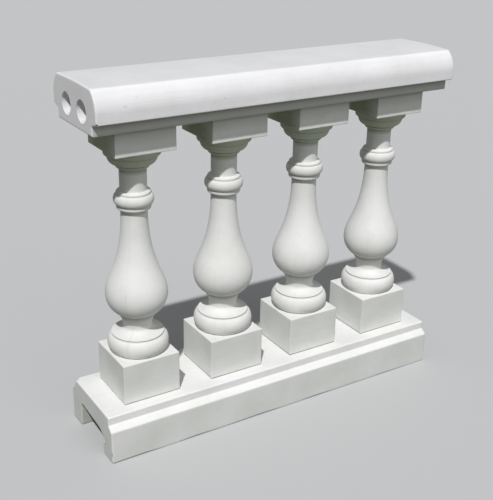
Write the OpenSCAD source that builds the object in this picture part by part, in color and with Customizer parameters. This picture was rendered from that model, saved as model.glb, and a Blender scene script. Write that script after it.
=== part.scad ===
// One bay of a cast stone balustrade: a bottom rail with a channel under it, a row of turned
// vase balusters with square blocks, and a bullnosed top rail with two cores.
// The origin is in the middle of the bay, at the level that the bottom rail stands on.
// X runs along the rails, -Y is the front, and Z is up.

/* [Bay] */
// Number of balusters
baluster_count = 4; // [2:1:5]
// Distance between the axes of neighbouring balusters
spacing = 245; // [200:1:320]
// How far both rails run past the axis of an outer baluster
end_run = 135; // [90:1:200]
// Thickness of the mortar bed under and over each baluster
bed_t = 2; // [1:0.5:6]
// How far a mortar bed is raked back from the faces of its block
bed_inset = 1.5; // [0.5:0.5:5]

/* [Bottom rail] */
// Height of the bottom rail
plinth_h = 122; // [110:1:180]
// Width of the bottom rail across its two vertical faces
plinth_w = 247; // [230:1:300]
// Width of the raised top that the balusters stand on
seat_w = 213; // [185:1:225]
// Height of the upright step under the raised top
riser_h = 21; // [12:1:30]
// Drop of the weathered slope between the step and the face
wash_h = 13; // [4:1:20]
// Radius of the arris along the raised top
seat_round = 4; // [1:0.5:6]
// Width of the channel in the underside, at its mouth
channel_w = 142; // [100:1:160]
// Lean of the channel's walls from upright, in degrees, so that it comes off its core
channel_lean = 5; // [1:0.5:8]
// Thickness of stone over the channel at its front wall
crown_front = 62; // [45:1:72]
// Thickness of stone over the channel at its back wall
crown_back = 51; // [38:1:72]
// Radius of the channel's front inner corner
front_round = 26; // [6:1:34]
// Radius of the channel's back inner corner
back_round = 12; // [4:1:24]

/* [Top rail] */
// Height of the top rail
rail_h = 106; // [95:1:135]
// Width of the top rail across its two noses
rail_w = 241; // [220:1:290]
// Width of the foot that sits on the balusters
foot_w = 193; // [170:1:205]
// Height of the foot
foot_h = 23; // [12:1:30]
// Rise of the drip slope between the foot and the nose
drip_h = 7; // [2:1:10]
// Height of the straight face at the bottom of the nose
nose_face_h = 9; // [4:1:14]
// Radius of the long curve of the nose
nose_r = 100; // [90:1:140]
// Radius of the shoulder between the nose and the top
shoulder_r = 14; // [8:1:18]
// Rise of the crowned top from its shoulders to its middle
top_crown = 2; // [0.5:0.5:5]
// Bore of the two cores
core_d = 52; // [30:1:56]
// Distance between the axes of the cores
core_pitch = 86; // [66:1:104]
// Height of the core axes above the underside of the top rail
core_z = 45; // [40:1:56]

/* [Baluster blocks] */
// Height of a baluster; the vase above its widest ring takes up any change
baluster_h = 686; // [620:1:800]
// Width of the square base block
block_w = 153; // [140:1:175]
// Height of the square base block
block_h = 106; // [60:1:160]
// Width of the square cap block
cap_w = 152; // [148:1:180]
// Height of the square cap block
cap_h = 59; // [30:1:90]

/* [Baluster foot] */
// Diameter of the big torus on the base block
torus_d = 153; // [136:1:160]
// Height of the big torus
torus_h = 46; // [30:1:60]
// How far the big torus bulges from its edges
torus_bulge = 15; // [8:1:20]
// Height of the quirk line over the big torus
quirk_h = 1.6; // [0.8:0.2:3]
// Depth of the quirk line
quirk_depth = 1.5; // [0.5:0.5:3]
// Diameter at the outer edge of the sloping apron
apron_d = 131; // [110:1:134]
// Height of the sloping apron
apron_h = 18; // [10:1:30]
// Bow of the sloping apron
apron_bow = 2.2; // [0.5:0.1:4]
// Diameter of the waist where it springs from the apron
waist_d = 72; // [60:1:84]
// Height of the waist
waist_h = 29; // [15:1:45]
// Hollow of the waist
waist_hollow = 1.5; // [0.5:0.1:4]
// Diameter of the fillet under the vase
fillet_d = 90; // [87:1:94]
// Height of the fillet under the vase
fillet_h = 6; // [4:1:12]

/* [Baluster vase] */
// Greatest diameter of the vase
vase_d = 154; // [120:1:160]
// Height from the vase's foot to its widest ring
vase_low_h = 53; // [40:1:70]
// Diameter of the neck under the collar
throat_d = 64.5; // [54:0.5:72]

/* [Baluster collar] */
// Diameter of the two fillets of the collar
collar_d = 81; // [76:1:86]
// Height of the lower fillet with its flare
collar_low_h = 15; // [10:1:24]
// Height of the rounded bead of the collar
bead_h = 23; // [16:1:30]
// Diameter of the bead
bead_d = 95; // [90:1:104]
// Height of the upper fillet with its rounded shoulder
collar_high_h = 15; // [10:1:24]
// Radius of the flare and the shoulder
collar_round = 6; // [2:0.5:8]

/* [Baluster capital] */
// Diameter of the upper neck
neck_d = 64.5; // [54:0.5:72]
// Height of the upper neck
neck_h = 51; // [20:1:90]
// Diameter of the annulet over the neck
annulet_d = 81; // [76:1:90]
// Height of the annulet
annulet_h = 9.5; // [6:0.5:14]
// Diameter of the quarter round under the cap block
echinus_d = 119; // [104:1:124]
// Height of the quarter round
echinus_h = 22.5; // [12:0.5:34]
// Diameter of the ring between the quarter round and the cap block
cap_ring_d = 135; // [128:1:144]
// Height of that ring
cap_ring_h = 17; // [8:0.5:24]

/* [Hidden] */

stone = [0.88, 0.89, 0.86];
mortar = [0.62, 0.61, 0.57];
$fn = 96;

// Steps along each arc and curve of an outline
ARC = 12;
CURVE = 28;
// Overshoot of a cut past the faces that it opens
CUT = 1;

rail_len = (baluster_count - 1) * spacing + 2 * end_run;
baluster_z = plinth_h + bed_t;
top_rail_z = baluster_z + baluster_h + bed_t;

function baluster_x(i) = (i - (baluster_count + 1) / 2) * spacing;

// A point at a share t of the way from a to b
function between(a, b, t) = a + (b - a) * t;

// An elliptical arc about c, from angle a0 to angle a1
function arc(c, rx, ry, a0, a1) = [
    for (i = [0 : ARC]) let (a = between(a0, a1, i / ARC)) c + [rx * cos(a), ry * sin(a)]
];

// A line from a to b that bows to its right by the height s
function bow(a, b, s) =
    let (d = b - a, n = [d.y, -d.x] / norm(d))
    [for (i = [0 : ARC]) let (t = i / ARC) a + d * t + n * (4 * s * t * (1 - t))];

// A smooth curve from a to b, pulled towards the handles p and q
function curve(a, p, q, b) = [
    for (i = [0 : CURVE])
        let (t = i / CURVE, u = 1 - t)
        a * (u * u * u) + p * (3 * u * u * t) + q * (3 * u * t * t) + b * (t * t * t)
];

// A half round bead of the outer radius r, from height z0 to z1, that bulges by the depth d
function bead(r, z0, z1, d) = arc([r - d, (z0 + z1) / 2], d, (z1 - z0) / 2, -90, 90);

// A quarter round that swells from radius r0 at height z0 to radius r1 at height z1
function quarter(r0, r1, z0, z1) = arc([r0, z1], r1 - r0, z1 - z0, -90, 0);

// Heights up the baluster at which one moulding ends and the next begins
torus_top = block_h + torus_h;
apron_z = torus_top + quirk_h;
waist_z = apron_z + apron_h;
fillet_z = waist_z + waist_h;
vase_z = fillet_z + fillet_h;
vase_mid = vase_z + vase_low_h;
cap_z = baluster_h - cap_h;
cap_ring_z = cap_z - cap_ring_h;
echinus_z = cap_ring_z - echinus_h;
annulet_z = echinus_z - annulet_h;
neck_z = annulet_z - neck_h;
collar_top_z = neck_z - collar_high_h;
bead_z = collar_top_z - bead_h;
collar_z = bead_z - collar_low_h;
// From the widest ring to the collar
vase_high_h = collar_z - vase_mid;

// Where the big torus stops, at the radius of the apron's edge
torus_core = torus_d / 2 - torus_bulge;
torus_stop = acos(min(1, max(0, (apron_d / 2 - torus_core) / torus_bulge)));
// Inset of the waist under the fillet, and of the vase's foot over it
fillet_step = 1.5;

foot_outline = concat(
    arc([torus_core, block_h + torus_h / 2], torus_bulge, torus_h / 2, -90, torus_stop),
    [[apron_d / 2 - quirk_depth, torus_top], [apron_d / 2 - quirk_depth, apron_z]],
    bow([apron_d / 2, apron_z], [waist_d / 2, waist_z], apron_bow),
    bow([waist_d / 2, waist_z], [fillet_d / 2 - fillet_step, fillet_z], -waist_hollow),
    [[fillet_d / 2, fillet_z], [fillet_d / 2, vase_z]]
);

// Share of the lower vase's spread and height that its first handle takes
LOW_PULL = [0.6, 0.2];
// Shares of a height that keep the vase upright at its widest ring and at its throat
RING_PULL = 0.42;
SHOULDER_PULL = 0.23;
THROAT_PULL = 0.66;

vase_foot_r = fillet_d / 2 + fillet_step;
vase_outline = concat(
    curve(
        [vase_foot_r, vase_z],
        [between(vase_foot_r, vase_d / 2, LOW_PULL.x), vase_z + vase_low_h * LOW_PULL.y],
        [vase_d / 2, vase_mid - vase_low_h * RING_PULL],
        [vase_d / 2, vase_mid]
    ),
    curve(
        [vase_d / 2, vase_mid],
        [vase_d / 2, vase_mid + vase_high_h * SHOULDER_PULL],
        [throat_d / 2, collar_z - vase_high_h * THROAT_PULL],
        [throat_d / 2, collar_z]
    )
);

collar_outline = concat(
    quarter(throat_d / 2, collar_d / 2, collar_z, collar_z + collar_round),
    [[collar_d / 2, bead_z]],
    bead(bead_d / 2, bead_z, collar_top_z, bead_h / 2),
    [[collar_d / 2, collar_top_z]],
    arc([neck_d / 2, neck_z - collar_round], (collar_d - neck_d) / 2, collar_round, 0, 90)
);

capital_outline = concat(
    [[neck_d / 2, annulet_z]],
    quarter(neck_d / 2, annulet_d / 2, annulet_z, echinus_z - quirk_h - quirk_depth),
    [[annulet_d / 2, echinus_z - quirk_h], [annulet_d / 2 - quirk_depth, echinus_z - quirk_h]],
    [[annulet_d / 2 - quirk_depth, echinus_z]],
    quarter(annulet_d / 2, echinus_d / 2, echinus_z, cap_ring_z - quirk_h),
    [[echinus_d / 2, cap_ring_z]],
    quarter(echinus_d / 2 + quirk_depth, cap_ring_d / 2, cap_ring_z, cap_ring_z + cap_ring_h / 3),
    [[cap_ring_d / 2, cap_z]]
);

turned_outline = concat(
    [[0, block_h]], foot_outline, vase_outline, collar_outline, capital_outline, [[0, cap_z]]
);

module block(width, z, height) {
    translate([-width / 2, -width / 2, z]) cube([width, width, height]);
}

// One casting: base block, turned shaft and cap block
module baluster(i) {
    color(stone) translate([baluster_x(i), 0, baluster_z]) union() {
        block(block_w, 0, block_h);
        rotate_extrude() polygon(turned_outline);
        block(cap_w, cap_z, cap_h);
    }
}

// A raked mortar bed, a little smaller than the block that it carries or is carried by
module bed(i, block_width, z) {
    color(mortar) translate([baluster_x(i), 0, z]) block(block_width - 2 * bed_inset, 0, bed_t);
}

module lower_bed(i) {
    bed(i, block_w, plinth_h);
}

module upper_bed(i) {
    bed(i, cap_w, top_rail_z - bed_t);
}

// A cross-section in the Y-Z plane, drawn out along X
module along_x(length) {
    rotate([90, 0, 90]) linear_extrude(height = length, center = true) children();
}

// The other half of a symmetric outline, from the last point of the given half to its first
function mirrored(half) = [
    for (i = [1 : len(half)]) let (p = half[len(half) - i]) [-p.x, p.y]
];

// The back half of the bottom rail's outline, from the ground up
plinth_half = concat(
    [[plinth_w / 2, 0], [plinth_w / 2, plinth_h - riser_h - wash_h], [seat_w / 2, plinth_h - riser_h]],
    arc([seat_w / 2 - seat_round, plinth_h - seat_round], seat_round, seat_round, 0, 90)
);

// The channel's ceiling falls from back to front
ceiling_mid = plinth_h - (crown_front + crown_back) / 2;
ceiling_slope = atan((crown_front - crown_back) / channel_w);

// Centre of an inner corner of the radius r that touches the leaning wall and the ceiling
function corner(side, r) =
    let (
        reach = channel_w / 2 - r / cos(channel_lean)
            - (ceiling_mid - r / cos(ceiling_slope)) * tan(channel_lean),
        y = side * reach / (1 + side * tan(ceiling_slope) * tan(channel_lean))
    )
    [y, ceiling_mid + y * tan(ceiling_slope) - r / cos(ceiling_slope)];

channel_mouth = channel_w / 2 + CUT * tan(channel_lean);
channel_outline = concat(
    [[channel_mouth, -CUT]],
    arc(corner(1, back_round), back_round, back_round, channel_lean, 90 + ceiling_slope),
    arc(corner(-1, front_round), front_round, front_round, 90 + ceiling_slope, 180 - channel_lean),
    [[-channel_mouth, -CUT]]
);

module bottom_rail() {
    color(stone) difference() {
        along_x(rail_len) polygon(concat(plinth_half, mirrored(plinth_half)));
        along_x(rail_len + 2 * CUT) polygon(channel_outline);
    }
}

// The nose is one long curve that a small shoulder rolls over into the crowned top
nose_z = foot_h + drip_h + nose_face_h;
nose_c = [rail_w / 2 - nose_r, nose_z];
shoulder_z = rail_h - top_crown - shoulder_r;
shoulder_a = asin((shoulder_z - nose_z) / (nose_r - shoulder_r));
shoulder_c = nose_c + (nose_r - shoulder_r) * [cos(shoulder_a), sin(shoulder_a)];
rail_half = concat(
    [[foot_w / 2, 0], [foot_w / 2, foot_h], [rail_w / 2, foot_h + drip_h]],
    arc(nose_c, nose_r, nose_r, 0, shoulder_a),
    arc(shoulder_c, shoulder_r, shoulder_r, shoulder_a, 90)
);
rail_crown = bow([shoulder_c.x, rail_h - top_crown], [-shoulder_c.x, rail_h - top_crown], top_crown);

module rail_section() {
    polygon(concat(rail_half, rail_crown, mirrored(rail_half)));
}

module core(side) {
    translate([-rail_len / 2 - CUT, side * core_pitch / 2, core_z])
        rotate([0, 90, 0]) cylinder(d = core_d, h = rail_len + 2 * CUT);
}

module top_rail() {
    color(stone) translate([0, 0, top_rail_z]) difference() {
        along_x(rail_len) rail_section();
        core(-1);
        core(1);
    }
}

bottom_rail();
top_rail();
for (i = [1 : baluster_count]) {
    baluster(i);
    lower_bed(i);
    upper_bed(i);
}
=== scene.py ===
"""Looks for one bay of a cast stone balustrade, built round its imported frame.

The bottom rail, the four balusters, their mortar beds and the top rail are modelled again as
closed meshes with worn arrises, mould seams and the damage that the real bay shows, and each
one stands for the CAD node of the same name.
"""

import logging
import math
from dataclasses import dataclass, field, replace
from enum import Enum

import bmesh
import bpy
from bmesh.types import BMEdge, BMesh, BMLayerItem, BMVert
from bpy.types import ID, Material, Node, NodeSocket, NodeTree, Object
from mathutils import Matrix, Vector, noise


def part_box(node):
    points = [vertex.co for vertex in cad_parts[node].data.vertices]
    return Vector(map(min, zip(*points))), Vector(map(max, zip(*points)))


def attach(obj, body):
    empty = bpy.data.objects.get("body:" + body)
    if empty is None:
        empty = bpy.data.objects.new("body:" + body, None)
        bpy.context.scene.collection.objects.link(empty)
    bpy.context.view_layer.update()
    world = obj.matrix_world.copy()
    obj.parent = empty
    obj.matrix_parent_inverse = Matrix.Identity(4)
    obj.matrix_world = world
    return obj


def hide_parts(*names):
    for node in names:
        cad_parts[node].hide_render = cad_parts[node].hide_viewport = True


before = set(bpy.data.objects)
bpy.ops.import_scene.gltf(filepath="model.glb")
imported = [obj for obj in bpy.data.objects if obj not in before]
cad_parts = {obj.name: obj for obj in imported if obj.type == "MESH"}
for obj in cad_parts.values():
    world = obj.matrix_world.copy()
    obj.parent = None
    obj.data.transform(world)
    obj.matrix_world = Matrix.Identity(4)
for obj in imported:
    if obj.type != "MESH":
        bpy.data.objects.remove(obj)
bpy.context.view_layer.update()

log = logging.getLogger("balustrade")

MM = 0.001
Point = tuple[float, float]
Triple = tuple[float, float, float]
Colour = tuple[float, float, float, float]


class Slot(Enum):
    """Material kinds that the pieces are passed with."""

    STONE = "cast_stone"
    MORTAR = "mortar"


class Mask(Enum):
    """Masks that a mesh carries for its finish."""

    # dust, and painted shade in creases, under mouldings and under the top rail
    DUST_AND_SHADE = "dust_and_shade"
    RAW = "raw"
    # weathered grey, and painted shade on the bottom rail's ends and over the coping's shoulder highlight
    AGED_AND_SHADE = "aged_and_shade"
    FLOATED = "floated"
    TURNED = "turned"
    # green film, and painted green shade on the capitals, the caps' ends, the channel and the bottom
    # rail's ends
    MOSS_AND_GREEN_SHADE = "moss_and_green_shade"


class Axis(Enum):
    """Axes of the row frame."""

    X = 0
    Y = 1
    Z = 2

    @property
    def unit(self) -> Vector:
        """Unit vector along the axis."""
        return Vector([1.0 if i == self.value else 0.0 for i in range(3)])


@dataclass
class Outline:
    """A section line in millimetres, drawn point by point, that remembers its arrises.

    Attributes:
        points: Corners of the line, in order.
        arrises: Indices of the points that a tool would leave sharp.
    """

    points: list[Point] = field(default_factory=list)
    arrises: set[int] = field(default_factory=set)

    def line(self, x: float, y: float, steps: int = 1, arris: bool = True) -> None:
        """Runs straight to a point.

        Args:
            x: First coordinate of the end.
            y: Second coordinate of the end.
            steps: Pieces that the run is cut into.
            arris: Whether the end is a sharp corner.
        """
        if self.points:
            a, b = self.points[-1]
            for i in range(1, steps):
                t = i / steps
                self._join((a + (x - a) * t, b + (y - b) * t))
        self._join((x, y))
        if arris:
            self.arrises.add(len(self.points) - 1)

    def arc(self, centre: Point, rx: float, ry: float, start: float, stop: float,
            steps: int = 12) -> "Outline":
        """Follows an elliptical arc.

        Args:
            centre: Middle of the ellipse.
            rx: Half its first axis.
            ry: Half its second axis.
            start: Angle of the first point, in degrees.
            stop: Angle of the last point, in degrees.
            steps: Pieces of the arc.

        Returns:
            The outline itself.
        """
        for i in range(steps + 1):
            a = math.radians(start + (stop - start) * i / steps)
            self._join((centre[0] + rx * math.cos(a), centre[1] + ry * math.sin(a)))
        return self

    def bow(self, x: float, y: float, rise: float, steps: int = 12) -> None:
        """Runs to a point along a flat bow.

        Args:
            x: First coordinate of the end.
            y: Second coordinate of the end.
            rise: Height of the bow, to the right of the run.
            steps: Pieces of the bow.
        """
        a = Vector(self.points[-1])
        run = Vector((x, y)) - a
        side = Vector((run.y, -run.x)).normalized()
        for i in range(1, steps + 1):
            t = i / steps
            self._join(tuple(a + run * t + side * (4 * rise * t * (1 - t))))

    def curve(self, first: Point, second: Point, end: Point, steps: int = 28) -> None:
        """Follows a smooth curve with two handles.

        Args:
            first: Handle near the start.
            second: Handle near the end.
            end: Last point.
            steps: Pieces of the curve.
        """
        a, p, q, b = (Vector(v) for v in (self.points[-1], first, second, end))
        for i in range(1, steps + 1):
            t = i / steps
            u = 1 - t
            self._join(tuple(a * u**3 + p * (3 * u * u * t) + q * (3 * u * t * t) + b * t**3))

    def _join(self, point: Point) -> None:
        """Adds a point unless the line already ends there."""
        if not self.points or (Vector(self.points[-1]) - Vector(point)).length > 1e-4:
            self.points.append(point)


def round_off(bm: BMesh, geom: list[BMEdge] | list[BMVert], radius: float, segments: int,
              affect: str = "EDGES") -> None:
    """Rounds arrises or corners.

    Args:
        bm: Mesh to change.
        geom: Edges or vertices to round.
        radius: How far back the rounding starts, in metres.
        segments: Pieces of the rounding.
        affect: Whether edges or vertices are rounded, in Blender's words.
    """
    bmesh.ops.bevel(bm, geom=geom, offset=radius, offset_type="OFFSET", segments=segments,
                    profile=0.5, affect=affect, material=-1, clamp_overlap=True)


def wire(bm: BMesh, outline: Outline, plane: Matrix, closed: bool,
         rounding: float = 0.0) -> list[BMEdge]:
    """Draws an outline as edges.

    Args:
        bm: Mesh that takes the edges.
        outline: Section line in millimetres.
        plane: Carries the outline's plane into the row frame, in metres.
        closed: Whether the last point joins the first.
        rounding: Offset of the rounding at each arris, in metres.

    Returns:
        The edges of the finished line.
    """
    old = set(bm.edges)
    verts = [bm.verts.new(plane @ Vector((x * MM, y * MM, 0.0))) for x, y in outline.points]
    pairs = list(zip(verts, verts[1:]))
    if closed:
        pairs.append((verts[-1], verts[0]))
    for a, b in pairs:
        bm.edges.new((a, b))
    corners = [verts[i] for i in sorted(outline.arrises)]
    if rounding and corners:
        round_off(bm, corners, rounding, 3, affect="VERTICES")
    return [e for e in bm.edges if e not in old]


def cut_across(bm: BMesh, axis: Axis, low: float, high: float, pitch: float) -> None:
    """Cuts a mesh into slices of even width.

    Args:
        bm: Mesh to cut.
        axis: Direction that the cuts stand across.
        low: Where the slices start, in metres along the axis.
        high: Where they end.
        pitch: Width that a slice comes near to.
    """
    count = max(2, round((high - low) / pitch))
    for i in range(1, count):
        bmesh.ops.bisect_plane(bm, geom=bm.verts[:] + bm.edges[:] + bm.faces[:], dist=1e-6,
                               plane_co=axis.unit * (low + (high - low) * i / count),
                               plane_no=axis.unit)


def subdivide_along(bm: BMesh, edges: list[BMEdge], axis: Axis, shortest: float, cuts: int) -> None:
    """Cuts the long edges that run along one axis, with the faces between them.

    Args:
        bm: Mesh that holds the edges.
        edges: Edges to choose from.
        axis: Direction of the edges to cut.
        shortest: Length under which an edge is left, in metres.
        cuts: Cuts along each edge.
    """
    chosen = []
    for e in edges:
        run = e.verts[1].co - e.verts[0].co
        if run.length > shortest and abs(run.normalized().dot(axis.unit)) > 0.99:
            chosen.append(e)
    bmesh.ops.subdivide_edges(bm, edges=chosen, cuts=cuts, use_grid_fill=True)


def new_mesh() -> BMesh:
    """Starts a mesh with the masks that the finishes read."""
    bm = bmesh.new()
    for mask in Mask:
        bm.verts.layers.float.new(mask.value)
    return bm


def layers(bm: BMesh, *masks: Mask) -> list[BMLayerItem]:
    """Finds the layers of some masks, in the order asked for."""
    return [bm.verts.layers.float[mask.value] for mask in masks]


def put_in_scene(name: str, data: ID) -> Object:
    """Makes an object and links it to the scene.

    Args:
        name: Name of the object.
        data: Its mesh, lamp or camera.

    Returns:
        The object.
    """
    obj = bpy.data.objects.new(name, data)
    bpy.context.scene.collection.objects.link(obj)
    return obj


def finished(bm: BMesh, name: str, smooth_below: float) -> Object:
    """Turns a mesh into a shaded object.

    Args:
        bm: Closed mesh of the piece, in metres, in the row frame. It is freed.
        name: Name of the piece.
        smooth_below: Angle between two faces, in degrees, under which they shade as one.

    Returns:
        The new object, at the origin.
    """
    bmesh.ops.remove_doubles(bm, verts=bm.verts[:], dist=1e-6)
    bmesh.ops.recalc_face_normals(bm, faces=bm.faces[:])
    open_edges = sum(1 for e in bm.edges if not e.is_manifold)
    mesh = bpy.data.meshes.new(name)
    bm.to_mesh(mesh)
    bm.free()
    mesh.shade_smooth()
    mesh.set_sharp_from_angle(angle=math.radians(smooth_below))
    obj = put_in_scene(name, mesh)
    weighted = obj.modifiers.new("FaceWeighted", "WEIGHTED_NORMAL")
    weighted.keep_sharp = True
    log.info("%s: %d faces, %d open edges", name, len(mesh.polygons), open_edges)
    return obj


@dataclass(frozen=True)
class Break:
    """A spot where stone has come away.

    Attributes:
        centre: Middle of the broken spot, in millimetres.
        reach: Half widths of the spot along X, Y and Z, in millimetres.
        push: Direction and depth in which the surface has gone back, in millimetres.
        steep: How abruptly the spot falls away: 1 for a worn hollow, more for a fresh break.
        ragged: Share of the depth that the broken surface varies by.
        finest: Length down to which the edges there are cut finer first, in millimetres.
        dust_and_shade: Share of dirt that has settled in the spot, with painted shade in its hollow.
    """

    centre: Triple
    reach: Triple
    push: Triple
    steep: float = 1.0
    ragged: float = 0.1
    finest: float = 1.0
    dust_and_shade: float = 0.0

    def cut(self, bm: BMesh) -> None:
        """Takes the stone out of a mesh.

        Args:
            bm: Mesh of the piece, in metres.
        """
        centre = Vector(self.centre) * MM
        widest = max(self.reach) * MM
        while self._refine(bm, centre, widest * 1.2):
            continue
        raw, dust_and_shade = layers(bm, Mask.RAW, Mask.DUST_AND_SHADE)
        for v in bm.verts:
            away = v.co - centre
            if away.length > widest * 1.8:
                continue
            share = sum((away[i] / (self.reach[i] * MM)) ** 2 for i in range(3))
            if share >= 1.0:
                continue
            bite = min(1.0, self.steep * (1.0 - share))
            bite *= bite * (3.0 - 2.0 * bite)
            rough = 1.0 + self.ragged * noise.noise(v.co * 420.0)
            v.co += Vector(self.push) * MM * bite * rough
            v[raw] = max(v[raw], bite * min(1.0, self.steep - 0.8))
            # dirt in the spot, and painted shade in its hollow
            v[dust_and_shade] = max(v[dust_and_shade], bite * self.dust_and_shade)

    def _refine(self, bm: BMesh, centre: Vector, reach: float) -> bool:
        """Halves the long edges near the spot.

        Args:
            bm: Mesh to refine.
            centre: Middle of the spot, in metres.
            reach: Radius of the spot, in metres.

        Returns:
            Whether any edge was long.
        """
        near = {e for v in bm.verts if (v.co - centre).length < reach for e in v.link_edges}
        near |= {e for f in bm.faces if (f.calc_center_median() - centre).length < reach
                 for e in f.edges}
        edges = [e for e in near if e.calc_length() > 2 * self.finest * MM]
        if edges:
            bmesh.ops.subdivide_edges(bm, edges=edges, cuts=1, use_grid_fill=True)
        return bool(edges)


@dataclass(frozen=True)
class Wear:
    """How a cast surface departs from its drawn form. Every change goes inwards.

    Attributes:
        swell: Depth of the broad unevenness, in millimetres.
        swell_size: Width of one swell, in millimetres.
        nick: Greatest depth of the nicks along arrises, in millimetres.
        nick_size: Spacing of the nicks, in millimetres.
        nick_from: Noise level from which an arris is nicked.
    """

    swell: float = 0.25
    swell_size: float = 70.0
    nick: float = 1.3
    nick_size: float = 13.0
    nick_from: float = 0.3

    def apply(self, bm: BMesh, seed: int) -> None:
        """Wears a mesh.

        Args:
            bm: Mesh of the piece, in metres.
            seed: Number that sets this piece's pattern apart.
        """
        bm.normal_update()
        raw = layers(bm, Mask.RAW)[0]
        shift = Vector((seed * 3.17, seed * 1.93, seed * 0.71))
        moves = []
        for v in bm.verts:
            low = noise.noise(v.co / (self.swell_size * MM) + shift)
            move = self.swell * (0.5 + 0.5 * low)
            sharp = max((e.calc_face_angle_signed(0.0) for e in v.link_edges), default=0.0)
            if sharp > 0.3:
                level = noise.noise(v.co / (self.nick_size * MM) + shift * 2.0)
                depth = max(0.0, level - self.nick_from) / (1.0 - self.nick_from)
                move += self.nick * depth
                v[raw] = max(v[raw], min(1.0, 3.0 * depth))
            moves.append((v, v.normal * (-move * MM)))
        for v, step in moves:
            v.co += step


@dataclass(frozen=True)
class Stain:
    """How strongly a mask covers a face, evenly and in patches.

    Attributes:
        even: Share all over the face.
        patchy: Share that comes and goes with the patches.
    """

    even: float
    patchy: float

    def at(self, patch: float) -> float:
        """Share of the mask where the patches have this strength."""
        return max(0.0, self.even + self.patchy * patch)


@dataclass(frozen=True)
class Recess:
    """A height at which dust gathers and shade is painted.

    Attributes:
        z: Height of the recess, in millimetres.
        radius: Distance from the axis inside which the surface counts.
        spread: Height over which the dust and painted shade fade, in millimetres.
        share: Dust and painted shade at its deepest.
    """

    z: float
    radius: float
    spread: float = 3.0
    share: float = 0.6


@dataclass(frozen=True)
class Foot:
    """Mouldings between the base block and the vase, in millimetres."""

    torus_d: float = 153.0
    torus_h: float = 46.0
    torus_bulge: float = 15.0
    quirk_h: float = 1.6
    quirk_depth: float = 1.5
    apron_d: float = 131.0
    apron_h: float = 18.0
    apron_rim: float = 2.4
    waist_d: float = 72.0
    waist_h: float = 29.0
    waist_hollow: float = 1.5
    fillet_d: float = 90.0
    fillet_h: float = 6.0
    fillet_step: float = 1.5


@dataclass(frozen=True)
class Vase:
    """The vase and its collar, in millimetres."""

    vase_d: float = 154.0
    vase_low_h: float = 53.0
    throat_d: float = 64.5
    collar_d: float = 83.0
    collar_low_h: float = 12.0
    bead_h: float = 28.4
    bead_d: float = 97.0
    bead_bulge: float = 10.0
    collar_high_h: float = 7.8
    collar_low_round: float = 6.0
    collar_high_round: float = 5.2
    low_pull: Point = (0.6, 0.2)
    ring_pull: float = 0.42
    shoulder_pull: float = 0.23
    throat_pull: float = 0.66


@dataclass(frozen=True)
class Capital:
    """Mouldings between the collar and the cap block, in millimetres."""

    neck_d: float = 65.0
    neck_h: float = 53.6
    annulet_d: float = 81.0
    annulet_h: float = 9.5
    echinus_d: float = 119.0
    echinus_h: float = 22.5
    cap_ring_d: float = 135.0
    cap_ring_h: float = 17.0


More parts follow.
